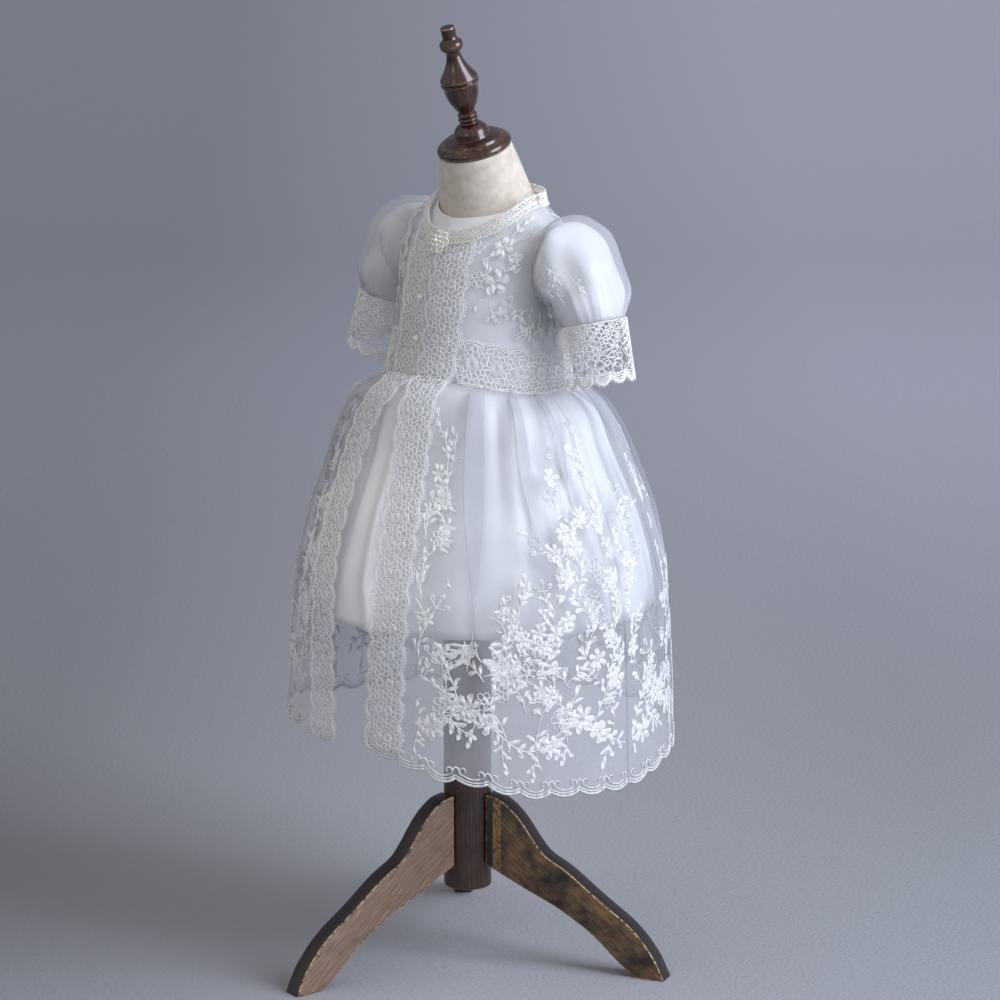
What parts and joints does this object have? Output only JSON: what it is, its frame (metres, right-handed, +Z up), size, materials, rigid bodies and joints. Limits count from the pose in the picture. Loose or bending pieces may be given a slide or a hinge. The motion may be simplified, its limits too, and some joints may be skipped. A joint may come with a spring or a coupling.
{
  "type": "christening gown on a dress form",
  "caption": "Christening gown: a sheer embroidered coat edged in lace over a satin dress, shown on a linen dress form with a turned finial and a wooden stand.",
  "frame": {"origin": "the centre of the whole's bounding box, on the floor; the column's axis is 6.5 mm to the wearer's right of it", "axes": "+Z up, -Y the way the gown faces, +X to the wearer's left"},
  "size_m": [0.4185, 0.4457, 0.9819],
  "materials": {
    "organza": "sheer organza, crisp, half see-through",
    "satin": "smooth satin with a soft sheen",
    "lace": "matte guipure lace",
    "beads": "pearly beads",
    "linen": "closely woven natural linen",
    "turned_wood": "dark red-brown varnish",
    "board_wood": "dark worn stain"
  },
  "bodies": {
    "root": {"dress_bodice_front": "satin", "dress_bodice_back": "satin", "dress_skirt_front": "satin", "dress_skirt_back": "satin", "dress_sleeve_left": "satin", "dress_sleeve_right": "satin", "coat_bodice_front_left": "organza", "coat_bodice_front_right": "organza", "coat_bodice_back": "organza", "coat_skirt_front_left": "organza", "coat_skirt_front_right": "organza", "coat_skirt_back": "organza", "coat_sleeve_left": "organza", "coat_sleeve_right": "organza", "cuff_lace_left_front": "lace", "cuff_lace_left_back": "lace", "cuff_lace_right_front": "lace", "cuff_lace_right_back": "lace", "front_lace_left": "lace", "front_lace_right": "lace", "waist_lace_front_left": "lace", "waist_lace_front_right": "lace", "waist_lace_back": "lace", "neck_lace_front_left": "lace", "neck_lace_front_right": "lace", "neck_lace_back": "lace", "neck_flower_clasp": "beads", "bead_button_upper": "beads", "bead_button_lower": "beads", "torso_form": "linen", "neck_cap": "turned_wood", "finial": "turned_wood", "column": "turned_wood", "leg_1": "board_wood", "leg_2": "board_wood", "leg_3": "board_wood"}
  },
  "joints": []
}
